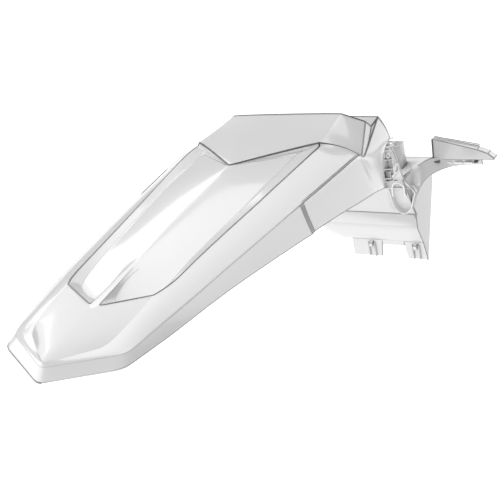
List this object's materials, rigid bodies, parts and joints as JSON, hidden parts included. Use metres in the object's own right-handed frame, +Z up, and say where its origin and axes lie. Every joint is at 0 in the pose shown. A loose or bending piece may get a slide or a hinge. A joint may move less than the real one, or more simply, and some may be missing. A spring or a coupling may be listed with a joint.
{
  "type": "motorcycle rear fender",
  "caption": "One-piece moulded rear fender: long sunk deck with turned-down side walls, and a folded apron with a bolting shelf, clips and swept wings at its front.",
  "frame": {"origin": "midway between the two bolt holes of the front shelf, on the shelf's upper face", "axes": "+Y forward along the bike, +X to the bike's right, +Z up; the deck lies level"},
  "size_m": [0.336, 0.5814, 0.2725],
  "materials": {
    "white_plastic": "white polypropylene with a smooth satin gloss"
  },
  "bodies": {
    "root": {"rear_fender": "white_plastic"}
  },
  "joints": []
}
